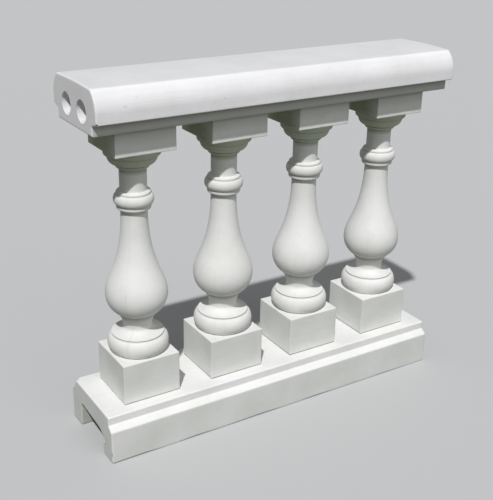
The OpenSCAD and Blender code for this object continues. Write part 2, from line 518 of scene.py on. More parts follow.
@dataclass
class Baluster:
    """One turned casting between two square blocks.

    Attributes:
        node: CAD node that it stands for.
        seed: Sets its wear apart from its neighbours'.
        height: Height of the casting, in millimetres.
        block_w: Width of the base block.
        block_h: Height of the base block.
        cap_w: Width of the cap block.
        cap_h: Height of the cap block.
        arris: Rounding of the blocks' arrises.
        turned_arris: Rounding of the arrises of the mouldings.
        side_cells: Cells along one side of a block, a quarter of the steps round the shaft.
        seam: How far the mould's seam stands out.
        seam_w: Half the width of the seam.
        seam_dust: Dirt along the seam.
        ring_painted_shade: Painted shade on the ring and under the cap.
        capital_painted_shade: Painted shade on the quarter round and the annulet.
        capital_green_shade: Painted green shade from the annulet up to the cap.
        block_grey: Greying of the base block's faces.
        block_moss: Green film on them.
        shelter_w: Distance from a cap's side to its middle over which the painted shade on its ends
            deepens.
        cap_green_shade: Painted green shade on the cap's ends at their edge.
        cap_painted_shade: Painted shade there, and what the middle has on top.
    """

    node: str
    seed: int
    height: float = 686.0
    block_w: float = 153.0
    block_h: float = 106.0
    cap_w: float = 152.0
    cap_h: float = 59.0
    arris: float = 2.2
    turned_arris: float = 0.8
    side_cells: int = 30
    seam: float = 0.08
    seam_w: float = 1.2
    seam_dust: float = 0.1
    ring_painted_shade: float = 0.35
    capital_painted_shade: float = 0.2
    capital_green_shade: float = 0.85
    block_grey: Stain = Stain(0.3, 0.6)
    block_moss: Stain = Stain(-0.05, 0.3)
    shelter_w: float = 45.0
    cap_green_shade: float = 0.3
    cap_painted_shade: tuple[float, float] = (0.1, 0.35)
    foot: Foot = Foot()
    vase: Vase = Vase()
    capital: Capital = Capital()
    wear: Wear = Wear()

    def __post_init__(self) -> None:
        """Places the casting where its node is and works out its levels."""
        low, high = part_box(self.node)
        self.axis = Vector(((low.x + high.x) / 2, (low.y + high.y) / 2, low.z))
        self.parting = Vector((1.0, -1.0, 0.0)).normalized()
        foot, vase, cap = self.foot, self.vase, self.capital
        self.torus_top = self.block_h + foot.torus_h
        self.apron_z = self.torus_top + foot.quirk_h
        self.waist_z = self.apron_z + foot.apron_h
        self.fillet_z = self.waist_z + foot.waist_h
        self.vase_z = self.fillet_z + foot.fillet_h
        self.vase_mid = self.vase_z + vase.vase_low_h
        self.cap_z = self.height - self.cap_h
        self.ring_z = self.cap_z - cap.cap_ring_h
        self.echinus_z = self.ring_z - cap.echinus_h
        self.annulet_z = self.echinus_z - cap.annulet_h
        self.neck_z = self.annulet_z - cap.neck_h
        self.collar_top = self.neck_z - vase.collar_high_h
        self.bead_z = self.collar_top - vase.bead_h
        self.collar_z = self.bead_z - vase.collar_low_h

    def shaft(self) -> Outline:
        """Draws the turned outline from the base block to the cap block.

        Returns:
            Radii and heights, in millimetres.
        """
        line = Outline()
        self._draw_foot(line)
        self._draw_vase(line)
        self._draw_collar(line)
        self._draw_capital(line)
        return line

    def _draw_foot(self, line: Outline) -> None:
        """Adds torus, quirk, apron, waist and fillet.

        Args:
            line: Outline to go on with.
        """
        f = self.foot
        core = f.torus_d / 2 - f.torus_bulge
        stop = math.degrees(math.acos((f.apron_d / 2 - core) / f.torus_bulge))
        middle = (core, self.block_h + f.torus_h / 2)
        line.arc(middle, f.torus_bulge, f.torus_h / 2, -90, stop, steps=20)
        line.line(f.apron_d / 2 - f.quirk_depth, self.torus_top, arris=False)
        line.line(f.apron_d / 2 - f.quirk_depth, self.apron_z, arris=False)
        line.line(f.apron_d / 2, self.apron_z)
        line.line(f.apron_d / 2, self.apron_z + f.apron_rim)
        line.arc((f.apron_d / 2, self.waist_z), (f.apron_d - f.waist_d) / 2, f.apron_h - f.apron_rim,
                 -90, -180, steps=20)
        line.bow(f.fillet_d / 2 - f.fillet_step, self.fillet_z, -f.waist_hollow)
        line.line(f.fillet_d / 2, self.fillet_z)
        line.line(f.fillet_d / 2, self.vase_z, steps=2, arris=False)

    def _draw_vase(self, line: Outline) -> None:
        """Adds the vase up to its throat.

        Args:
            line: Outline to go on with.
        """
        v = self.vase
        foot_r = self.foot.fillet_d / 2 + self.foot.fillet_step
        ring_r, throat_r = v.vase_d / 2, v.throat_d / 2
        rise = self.collar_z - self.vase_mid
        line.line(foot_r, self.vase_z)
        line.curve(
            (foot_r + (ring_r - foot_r) * v.low_pull[0], self.vase_z + v.vase_low_h * v.low_pull[1]),
            (ring_r, self.vase_mid - v.vase_low_h * v.ring_pull),
            (ring_r, self.vase_mid),
        )
        line.curve(
            (ring_r, self.vase_mid + rise * v.shoulder_pull),
            (throat_r, self.collar_z - rise * v.throat_pull),
            (throat_r, self.collar_z),
            steps=40,
        )

    def _draw_collar(self, line: Outline) -> None:
        """Adds the two fillets with the bead between them.

        Args:
            line: Outline to go on with.
        """
        v = self.vase
        collar, neck = v.collar_d / 2, self.capital.neck_d / 2
        low, high = v.collar_low_round, v.collar_high_round
        line.arc((v.throat_d / 2, self.collar_z + low), collar - v.throat_d / 2, low, -90, 0)
        line.line(collar, self.bead_z, arris=False)
        line.arc((v.bead_d / 2 - v.bead_bulge, self.bead_z + v.bead_h / 2), v.bead_bulge,
                 v.bead_h / 2, -90, 90, steps=20)
        line.line(collar, self.collar_top, arris=False)
        line.arc((neck, self.neck_z - high), collar - neck, high, 0, 90)

    def _draw_capital(self, line: Outline) -> None:
        """Adds neck, annulet, quarter round and ring.

        Args:
            line: Outline to go on with.
        """
        c, f = self.capital, self.foot
        neck, fillet, cup, ring = c.neck_d / 2, c.annulet_d / 2, c.echinus_d / 2, c.cap_ring_d / 2
        under = self.echinus_z - f.quirk_h
        line.line(neck, self.annulet_z, steps=4, arris=False)
        line.arc((neck, under - f.quirk_depth), fillet - neck, under - f.quirk_depth - self.annulet_z,
                 -90, 0)
        line.line(fillet, under)
        line.line(fillet - f.quirk_depth, under, arris=False)
        line.line(fillet - f.quirk_depth, self.echinus_z, arris=False)
        line.arc((fillet, self.ring_z - f.quirk_h), cup - fillet, c.echinus_h - f.quirk_h, -90, 0)
        line.line(cup, self.ring_z)
        step = c.cap_ring_h / 3
        line.arc((cup + f.quirk_depth, self.ring_z + step), ring - cup - f.quirk_depth, step, -90, 0)
        line.line(ring, self.cap_z, steps=2, arris=False)

    def recesses(self) -> list[Recess]:
        """Lists the heights where dust gathers and shade is painted.

        Returns:
            Recesses from the casting's own foot.
        """
        f, v, c = self.foot, self.vase, self.capital
        # painted shade with dust: in the creases, under the overhangs and, in the last two, on the cap's
        # top under the rail
        return [
            Recess(self.torus_top + f.quirk_h / 2, f.apron_d / 2 + 1.5, 3.2, 0.65),
            Recess(self.fillet_z, f.fillet_d / 2 - 1, 4.0),
            Recess(self.vase_z, f.fillet_d / 2 + 2, 2.5, 1.1),
            Recess(self.vase_z, f.fillet_d / 2 + 12, 14.0, 0.55),
            Recess(self.collar_z, v.throat_d / 2 + 3, 3.5, 0.7),
            Recess(self.bead_z, v.collar_d / 2 + 1, 2.5, 0.3),
            Recess(self.collar_top, v.collar_d / 2 + 1, 2.4, 0.35),
            Recess(self.annulet_z, c.neck_d / 2 + 2.5, 2.2, 1.0),
            Recess(self.echinus_z - f.quirk_h / 2, c.annulet_d / 2 + 2, 2.2, 1.1),
            Recess(self.ring_z - f.quirk_h / 2, c.echinus_d / 2 + 2, 2.0, 1.1),
            Recess(self.height, self.cap_w, 18.0, 1.4),
            Recess(self.height, self.cap_w, 36.0, 0.85),
        ]

    def painted_shade_under_cap(self, z: float) -> float:
        """Gives the painted shade on the mouldings under the cap.

        Args:
            z: Height above the casting's foot, in millimetres.

        Returns:
            Share of painted shade.
        """
        if self.ring_z < z < self.cap_z + 1.0:
            return self.ring_painted_shade
        if self.annulet_z < z < self.ring_z:
            return self.capital_painted_shade
        return 0.0

    def build(self) -> Object:
        """Models the casting as one closed mesh.

        Returns:
            The finished piece, in place of its node.
        """
        bm = new_mesh()
        low_loop = self._block(bm, 0.0, self.block_h, self.block_w, top_open=True)
        high_loop = self._block(bm, self.cap_z, self.height, self.cap_w, top_open=False)
        ends = self._spin_shaft(bm)
        self._fill_lid(bm, low_loop, ends[0], up=1)
        self._fill_lid(bm, high_loop, ends[1], up=-1)
        bmesh.ops.remove_doubles(bm, verts=bm.verts[:], dist=1e-6)
        bmesh.ops.recalc_face_normals(bm, faces=bm.faces[:])
        self._raise_seams(bm)
        self._paint_dust_and_shade(bm)
        self.wear.apply(bm, self.seed)
        bmesh.ops.translate(bm, verts=bm.verts[:], vec=self.axis)
        return finished(bm, self.node + "_casting", smooth_below=32)

    def _fill_lid(self, bm: BMesh, square: list[BMEdge], ring: list[BMEdge], up: int) -> None:
        """Closes a block round the foot or the head of the shaft, in narrow rings.

        The ring stands clear of the block while the two are bridged, because a bridge between
        two loops in one plane can't tell which way round they run.

        Args:
            bm: Mesh of the casting.
            square: Edges of the block's opening.
            ring: Edges of the shaft's end.
            up: 1 where the shaft stands above the block, -1 where it hangs below.
        """
        verts = list({v for e in ring for v in e.verts})
        clear = Vector((0.0, 0.0, up * self.cap_h * MM))
        bmesh.ops.translate(bm, verts=verts, vec=clear)
        spokes = bmesh.ops.bridge_loops(bm, edges=square + ring)["edges"]
        bmesh.ops.translate(bm, verts=verts, vec=-clear)
        bmesh.ops.subdivide_edges(bm, edges=spokes, cuts=5, use_grid_fill=True)

    def _block(self, bm: BMesh, low: float, high: float, width: float, top_open: bool) -> list[BMEdge]:
        """Models a square block with one face left open for the shaft.

        Args:
            bm: Mesh of the casting.
            low: Height of its underside, in millimetres.
            high: Height of its top, in millimetres.
            width: Width of the block, in millimetres.
            top_open: Whether the top is left open, or else the underside.

        Returns:
            The edges round the opening.
        """
        old_faces, old_edges = set(bm.faces), set(bm.edges)
        size = Matrix.Diagonal((width * MM, width * MM, (high - low) * MM, 1.0))
        place = Matrix.Translation((0.0, 0.0, (low + high) / 2 * MM))
        bmesh.ops.create_cube(bm, size=1.0, matrix=place @ size)
        edges = [e for e in bm.edges if e not in old_edges]
        round_off(bm, edges, self.arris * MM, 3)
        tall = max(4, round((high - low) / width * self.side_cells))
        for axis, cuts in ((Axis.X, self.side_cells), (Axis.Y, self.side_cells), (Axis.Z, tall)):
            edges = [e for e in bm.edges if e not in old_edges]
            subdivide_along(bm, edges, axis, 20 * MM, cuts - 1)
        level = (high if top_open else low) * MM
        lid = [f for f in bm.faces if f not in old_faces
               and all(abs(v.co.z - level) < 1e-6 for v in f.verts)]
        rim = {e for f in lid for e in f.edges}
        bmesh.ops.delete(bm, geom=lid, context="FACES")
        return [e for e in rim if e.is_valid and e.is_boundary]

    def _spin_shaft(self, bm: BMesh) -> tuple[list[BMEdge], list[BMEdge]]:
        """Turns the outline round the axis.

        Args:
            bm: Mesh of the casting.

        Returns:
            The edges of the lowest and of the highest ring.
        """
        old = set(bm.edges)
        upright = Matrix(((1, 0, 0, 0), (0, 0, -1, 0), (0, 1, 0, 0), (0, 0, 0, 1)))
        line = wire(bm, self.shaft(), upright, closed=False, rounding=self.turned_arris * MM)
        verts = {v for e in line for v in e.verts}
        bmesh.ops.spin(bm, geom=list(verts) + line, cent=(0, 0, 0), axis=(0, 0, 1),
                       angle=math.tau, steps=4 * self.side_cells, use_merge=True, use_duplicate=False)
        rings = [e for e in bm.edges if e not in old and e.is_boundary]
        middle = self.height / 2 * MM
        return ([e for e in rings if e.verts[0].co.z < middle],
                [e for e in rings if e.verts[0].co.z > middle])

    def _raise_seams(self, bm: BMesh) -> None:
        """Raises the mould's seam on the two diagonals that the mould opens along.

        Args:
            bm: Mesh of the casting.
        """
        low, high = (self.block_h + 2) * MM, (self.cap_z - 2) * MM
        for side in (-1, 1):
            faces = [f for f in bm.faces if low < f.calc_center_median().z < high]
            geom = faces + list({e for f in faces for e in f.edges})
            geom += list({v for f in faces for v in f.verts})
            bmesh.ops.bisect_plane(bm, geom=geom, dist=1e-7, plane_no=self.parting,
                                   plane_co=self.parting * (side * self.seam_w * MM))
        for v in bm.verts:
            if abs(v.co.dot(self.parting)) < 1e-5 and low < v.co.z < high:
                out = Vector((v.co.x, v.co.y, 0.0)).normalized()
                height = self.seam * (0.6 + 0.4 * noise.noise(v.co * 60.0 + Vector((self.seed, 0, 0))))
                v.co += out * height * MM

    def _paint_dust_and_shade(self, bm: BMesh) -> None:
        """Paints the masks of dust and painted shade, of grey, of green film and painted green shade, of
        floated faces and of turned faces.

        Args:
            bm: Mesh of the casting.
        """
        dust_and_shade, aged_and_shade, floated, turned, moss_and_green_shade = layers(
            bm, Mask.DUST_AND_SHADE, Mask.AGED_AND_SHADE, Mask.FLOATED, Mask.TURNED, Mask.MOSS_AND_GREEN_SHADE)
        recesses = self.recesses()
        low, high = (self.block_h + 0.5) * MM, (self.cap_z - 0.5) * MM
        for v in bm.verts:
            radius, z = math.hypot(v.co.x, v.co.y) / MM, v.co.z / MM
            # painted shade under the cap and in the recesses, with dust
            v[dust_and_shade] = self.painted_shade_under_cap(z)
            for r in recesses:
                if radius < r.radius:
                    v[dust_and_shade] = max(v[dust_and_shade], r.share * (1.0 - abs(z - r.z) / r.spread))
            patch = 0.5 + 0.5 * noise.noise(v.co * 18.0 + Vector((0, self.seed, 0)))
            if low < v.co.z < high:
                off = abs(v.co.dot(self.parting)) / MM
                seam = self.seam_dust * (0.5 + 0.5 * patch) * max(0.0, 1.0 - off / 4.0)
                v[dust_and_shade] = max(v[dust_and_shade], seam if z < self.vase_mid + 25 else 0.3 * seam)
                v[turned] = 1.0
                # painted green shade from the annulet up to the cap
                v[moss_and_green_shade] = self.capital_green_shade if z > self.annulet_z else 0.0
            else:
                face = self.cap_w / 2 - 1.5
                side = max(abs(v.co.x), abs(v.co.y)) / MM > face
                v[floated] = float(side)
                if side and z < self.block_h:
                    v[aged_and_shade] = self.block_grey.at(patch)
                    v[moss_and_green_shade] = self.block_moss.at(patch)
                # the cap's ends: painted green shade and painted shade, deeper towards their middle
                elif abs(v.co.x) / MM > face:
                    shelter = min(1.0, (self.cap_w / 2 - abs(v.co.y) / MM) / self.shelter_w)
                    v[moss_and_green_shade] = self.cap_green_shade + shelter
                    v[dust_and_shade] = max(v[dust_and_shade], self.cap_painted_shade[0] + self.cap_painted_shade[1] * shelter)


@dataclass
class Rail:
    """A casting of one section, drawn along X.

    Attributes:
        node: CAD node that it stands for.
        seed: Sets its wear apart.
        arris: Rounding of its long arrises, in millimetres.
        end_arris: Rounding of the arrises round its ends.
        pitch: Size of the mesh's cells.
        wear: Wear of its surface.
        breaks: Spots where it is damaged, in the row frame.
    """

    node: str
    seed: int
    arris: float = 2.4
    end_arris: float = 4.0
    pitch: float = 7.0
    wear: Wear = Wear(swell=0.35, swell_size=110.0, nick=0.7, nick_size=24.0, nick_from=0.42)
    breaks: tuple[Break, ...] = ()

    def __post_init__(self) -> None:
        """Takes the rail's place from its node."""
        self.low, self.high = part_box(self.node)

    def outside(self) -> Outline:
        """Outline round the section."""
        raise NotImplementedError

    def bores(self) -> list[Outline]:
        """Outlines of the bores through the section."""
        return []

    def weather(self, bm: BMesh) -> None:
        """Adds what time has done to this rail alone."""

    def build(self) -> Object:
        """Draws the section out along X, bores it and weathers it.

        Returns:
            The finished piece.
        """
        bm = new_mesh()
        plane = Matrix(((0, 0, 1, self.low.x), (1, 0, 0, 0), (0, 1, 0, self.low.z), (0, 0, 0, 1)))
        length = Vector((self.high.x - self.low.x, 0.0, 0.0))
        rim = wire(bm, self.outside(), plane, closed=True)
        bmesh.ops.edgeloop_fill(bm, edges=rim)
        out = bmesh.ops.extrude_face_region(bm, geom=bm.faces[:], use_keep_orig=True)
        moved = [g for g in out["geom"] if isinstance(g, BMVert)]
        bmesh.ops.translate(bm, verts=moved, vec=length)
        bmesh.ops.recalc_face_normals(bm, faces=bm.faces[:])
        self._round_arrises(bm)
        self._close_ends(bm, plane, length)
        margin = 0.5 * MM
        cut_across(bm, Axis.Y, self.low.y + margin, self.high.y - margin, self.pitch * MM)
        cut_across(bm, Axis.Z, self.low.z + margin, self.high.z - margin, self.pitch * MM)
        cut_across(bm, Axis.X, self.low.x, self.high.x, self.pitch * MM)
        self.weather(bm)
        self.wear.apply(bm, self.seed)
        for spot in self.breaks:
            spot.cut(bm)
        return finished(bm, self.node + "_casting", smooth_below=32)

    def _at_end(self, v: BMVert) -> bool:
        """Whether a vertex lies in an end face."""
        return min(abs(v.co.x - self.low.x), abs(v.co.x - self.high.x)) < 1e-6

    def _round_arrises(self, bm: BMesh) -> None:
        """Rounds the long arrises and those round both ends.

        Args:
            bm: Mesh of the rail without its bores.
        """
        half = (self.high.x - self.low.x) / 2
        ends = [e for e in bm.edges if e.calc_length() < half]
        round_off(bm, ends, self.end_arris * MM, 4)
        edges = []
        for e in list(bm.edges):
            if e.calc_length() > half and e.calc_face_angle_signed(0.0) > 0.4:
                edges += self._run_out(e)
        round_off(bm, edges, self.arris * MM, 4)

    def _run_out(self, edge: BMEdge) -> list[BMEdge]:
        """Follows a long arris over the rounding at both ends.

        Args:
            edge: The straight run of the arris.

        Returns:
            The run with the short edges that lead into the end faces.
        """
        chain = [edge]
        for v in edge.verts:
            away = math.copysign(1.0, v.co.x - edge.other_vert(v).co.x)
            while not self._at_end(v):
                step = max(v.link_edges, key=lambda e, v=v: away * (e.other_vert(v).co.x - v.co.x))
                chain.append(step)
                v = step.other_vert(v)
        return chain

    def _close_ends(self, bm: BMesh, plane: Matrix, length: Vector) -> None:
        """Draws the bores through and fills the ends round them.

        Args:
            bm: Mesh of the rail without its bores.
            plane: Plane of the left end.
            length: Run of the rail.
        """
        ends = [f for f in bm.faces if all(self._at_end(v) for v in f.verts)]
        rims = {e for f in ends for e in f.edges}
        bmesh.ops.delete(bm, geom=ends, context="FACES_ONLY")
        for bore in self.bores():
            mouth = wire(bm, bore, plane, closed=True)
            out = bmesh.ops.extrude_edge_only(bm, edges=mouth)
            far = [g for g in out["geom"] if isinstance(g, BMVert)]
            bmesh.ops.translate(bm, verts=far, vec=length)
            rims |= set(mouth) | {g for g in out["geom"] if isinstance(g, BMEdge)
                                  and all(self._at_end(v) for v in g.verts)}
        for x in (self.low.x, self.high.x):
            loop = [e for e in rims if e.is_valid and abs(e.verts[0].co.x - x) < 1e-6]
            bmesh.ops.triangle_fill(bm, use_beauty=True, use_dissolve=False, edges=loop)
        bmesh.ops.recalc_face_normals(bm, faces=bm.faces[:])


@dataclass
class BottomRail(Rail):
    """Channelled bottom rail with a raised seat and a weathered slope, in millimetres.

    Its lower arrises wander within edge_h of the floor and edge_w of the faces.
    """

    arris: float = 2.6
    end_arris: float = 3.4
    width: float = 247.0
    seat_w: float = 213.0
    riser_h: float = 21.0
    wash_h: float = 13.0
    seat_round: float = 4.0
    channel_w: float = 142.0
    channel_lean: float = 5.0
    crown_front: float = 62.0
    crown_back: float = 51.0
    front_round: float = 26.0
    back_round: float = 12.0
    edge_wander: float = 2.6
    edge_h: float = 16.0
    edge_w: float = 9.0
    riser_dust: float = 0.14
    # the ends' grey and green are weathering with painted shade; the channel's green is painted green
    # shade
    end_grey_and_shade: Stain = Stain(0.3, 0.3)
    end_moss_and_green_shade: Stain = Stain(0.0, 0.12)
    channel_green_shade: Stain = Stain(0.4, 0.2)
    face_grey: Stain = Stain(0.1, 0.35)
    face_moss: Stain = Stain(-0.08, 0.3)

    def outside(self) -> Outline:
        """Draws the section round its outside and through its channel.

        Returns:
            One closed outline.
        """
        height = (self.high.z - self.low.z) / MM
        wash_z = height - self.riser_h - self.wash_h
        riser_z = height - self.riser_h
        r = self.seat_round
        line = Outline()
        line.line(self.width / 2, 0.0)
        line.line(self.width / 2, wash_z)
        line.line(self.seat_w / 2, riser_z)
        line.arc((self.seat_w / 2 - r, height - r), r, r, 0, 90, steps=5)
        line.arc((r - self.seat_w / 2, height - r), r, r, 90, 180, steps=5)
        line.line(-self.seat_w / 2, riser_z)
        line.line(-self.width / 2, wash_z)
        line.line(-self.width / 2, 0.0)
        line.line(-self.channel_w / 2, 0.0)
        self._draw_channel(line, height)
        line.line(self.channel_w / 2, 0.0)
        return line

    def _draw_channel(self, line: Outline, height: float) -> None:
        """Adds the channel from its front wall to its back wall.

        Args:
            line: Outline to go on with.
            height: Height of the rail.
        """
        lean = math.radians(self.channel_lean)
        slope = math.atan((self.crown_front - self.crown_back) / self.channel_w)
        middle = height - (self.crown_front + self.crown_back) / 2

        def corner(side: int, r: float) -> Point:
            """Centre of the inner corner that touches wall and ceiling."""
            reach = self.channel_w / 2 - r / math.cos(lean)
            reach -= (middle - r / math.cos(slope)) * math.tan(lean)
            y = side * reach / (1 + side * math.tan(slope) * math.tan(lean))
            return (y, middle + y * math.tan(slope) - r / math.cos(slope))

        tilt = math.degrees(slope)
        front, back = self.front_round, self.back_round
        line.arc(corner(-1, front), front, front, 180 - self.channel_lean, 90 + tilt, steps=14)
        line.arc(corner(1, back), back, back, 90 + tilt, self.channel_lean, steps=9)

    def weather(self, bm: BMesh) -> None:
        """Lets the lower arrises wander, dusts the riser's foot, greys and greens the faces, and paints
        shade and green shade on the ends and in the channel.

        Args:
            bm: Mesh of the rail.
        """
        bm.normal_update()
        dust_and_shade, aged_and_shade, moss_and_green_shade = layers(bm, Mask.DUST_AND_SHADE, Mask.AGED_AND_SHADE, Mask.MOSS_AND_GREEN_SHADE)
        for v in bm.verts:
            side = abs(v.co.y) / MM
            up = v.co.z / MM
            if up < self.edge_h and side > self.width / 2 - self.edge_w:
                level = noise.noise(Vector((v.co.x * 11.0, math.copysign(2.0, v.co.y), 0.5)))
                lift = self.edge_wander * min(1.0, max(0.0, 0.35 + level)) * (1.0 - up / self.edge_h)
                v.co.z += lift * min(1.0, (side - self.width / 2 + self.edge_w) / 6.0) * MM
            at_riser = abs(side - self.seat_w / 2) < 1.5
            rise = abs(up - (self.high.z / MM - self.riser_h))
            if at_riser:
                v[dust_and_shade] = max(0.0, self.riser_dust - rise / 10.0)
            patch = 0.5 + 0.5 * noise.noise(v.co * 14.0 + Vector((0.0, 5.0, 0.0)))
            # ends: weathered grey and green film, with painted shade and painted green shade
            if abs(v.normal.x) > 0.7:
                v[aged_and_shade] = self.end_grey_and_shade.at(patch)
                v[moss_and_green_shade] = self.end_moss_and_green_shade.at(patch)
            # channel: painted green shade
            elif side < self.channel_w / 2 + 1.0 and up < self.high.z / MM - self.crown_back + 1.0:
                v[moss_and_green_shade] = self.channel_green_shade.at(patch)
            elif side > self.width / 2 - 1.0:
                v[aged_and_shade] = self.face_grey.at(patch)
                v[moss_and_green_shade] = self.face_moss.at(patch)


@dataclass
class TopRail(Rail):
    """Bullnosed top rail with two cores, in millimetres.

    The fascia is the foot's face. Its painted shade deepens over lip_reach below the lip and over
    joint_reach above the caps.
    """

    arris: float = 2.2
    width: float = 241.0
    foot_w: float = 193.0
    foot_h: float = 23.0
    drip_h: float = 7.0
    nose_face_h: float = 22.0
    nose_r: float = 65.4
    shoulder_r: float = 14.0
    top_crown: float = 2.0
    core_d: float = 52.0
    core_pitch: float = 86.0
    core_z: float = 45.0
    fascia_painted_shade: float = 0.68
    fascia_shade_deeper: float = 0.6
    lip_reach: float = 13.0
    joint_painted_shade: float = 0.7
    joint_reach: float = 5.0
    drip_painted_shade: tuple[float, float] = (0.1, 0.4)

    def outside(self) -> Outline:
        """Draws the section's outside.

        Returns:
            One closed outline.
        """
        height = (self.high.z - self.low.z) / MM
        nose_z = self.foot_h + self.drip_h + self.nose_face_h
        middle = self.width / 2 - self.nose_r
        level = height - self.top_crown
        inner = self.nose_r - self.shoulder_r
        turn = math.asin((level - self.shoulder_r - nose_z) / inner)
        shoulder = (middle + inner * math.cos(turn), level - self.shoulder_r)
        turn = math.degrees(turn)
        r = self.shoulder_r
        line = Outline()
        line.line(self.foot_w / 2, 0.0)
        line.line(self.foot_w / 2, self.foot_h)
        line.line(self.width / 2, self.foot_h + self.drip_h)
        line.arc((middle, nose_z), self.nose_r, self.nose_r, 0, turn, steps=14)
        line.arc(shoulder, r, r, turn, 90, steps=9)
        line.bow(-shoulder[0], level, self.top_crown, steps=24)
        line.arc((-shoulder[0], shoulder[1]), r, r, 90, 180 - turn, steps=9)
        line.arc((-middle, nose_z), self.nose_r, self.nose_r, 180 - turn, 180, steps=14)
        line.line(-self.width / 2, self.foot_h + self.drip_h)
        line.line(-self.foot_w / 2, self.foot_h)
        line.line(-self.foot_w / 2, 0.0)
        return line

    def bores(self) -> list[Outline]:
        """Draws the two cores."""
        step = 360 / 56
        return [Outline().arc((side * self.core_pitch / 2, self.core_z), self.core_d / 2,
                              self.core_d / 2, 0, 360 - step, steps=55) for side in (-1, 1)]

    def weather(self, bm: BMesh) -> None:
        """Greys the top, paints shade over the shoulder's highlight and paints shade under the lip.

        Args:
            bm: Mesh of the rail.
        """
        bm.normal_update()
        dust_and_shade, aged_and_shade = layers(bm, Mask.DUST_AND_SHADE, Mask.AGED_AND_SHADE)
        for v in bm.verts:
            up = (v.co.z - self.low.z) / MM
            at_fascia = abs(abs(v.co.y) / MM - self.foot_w / 2) < 2.5 and abs(v.normal.x) < 0.5
            # fascia: painted shade, deeper under the lip and at the joint above the caps
            if at_fascia and up < self.foot_h + 0.5:
                lip = 1.0 - (self.foot_h - up) / self.lip_reach
                joint = self.joint_painted_shade - up / self.joint_reach
                v[dust_and_shade] = self.fascia_painted_shade + self.fascia_shade_deeper * max(0.0, lip, joint)
            out = (abs(v.co.y) / MM - self.foot_w / 2) / (self.width / 2 - self.foot_w / 2)
            # underside of the lip: painted shade, deeper towards its edge
            if v.normal.z < -0.7 and out > 0.05:
                v[dust_and_shade] = self.drip_painted_shade[0] + self.drip_painted_shade[1] * out
            # weathered grey on the top; the ramp's low end is painted shade over the shoulder's highlight
            v[aged_and_shade] = min(1.0, max(0.0, (v.normal.z - 0.87) / 0.1))


@dataclass
class MortarBed:
    """A thin raked bed of mortar with a ragged rim.

    Attributes:
        node: CAD node that it stands for.
        seed: Sets its rim apart.
        cells: Cells along one side.
        ragged: How far the rim wanders, in millimetres.
    """

    node: str
    seed: int
    cells: int = 26
    ragged: float = 1.4

    def build(self) -> Object:
        """Models the bed from one slab whose rim is worn back.

        Returns:
            The finished piece.
        """
        low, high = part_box(self.node)
        size = high - low
        middle = (low + high) / 2
        bm = new_mesh()
        matrix = Matrix.Translation(middle) @ Matrix.Diagonal((*size, 1.0))
        bmesh.ops.create_cube(bm, size=1.0, matrix=matrix)
        for axis in (Axis.X, Axis.Y):
            subdivide_along(bm, bm.edges[:], axis, 20 * MM, self.cells - 1)
        subdivide_along(bm, bm.edges[:], Axis.Z, MM, 1)
        for v in bm.verts:
            away = v.co - middle
            edge = max(abs(away.x) / size.x, abs(away.y) / size.y)
            if edge > 0.49:
                wander = 0.5 + 0.5 * noise.noise(v.co * 130.0 + Vector((0, 0, self.seed)))
                hollow = 1.0 if abs(away.z) < 0.2 * size.z else 0.55
                v.co -= Vector((away.x, away.y, 0.0)).normalized() * self.ragged * MM * wander * hollow
        return finished(bm, self.node + "_mortar", smooth_below=50)


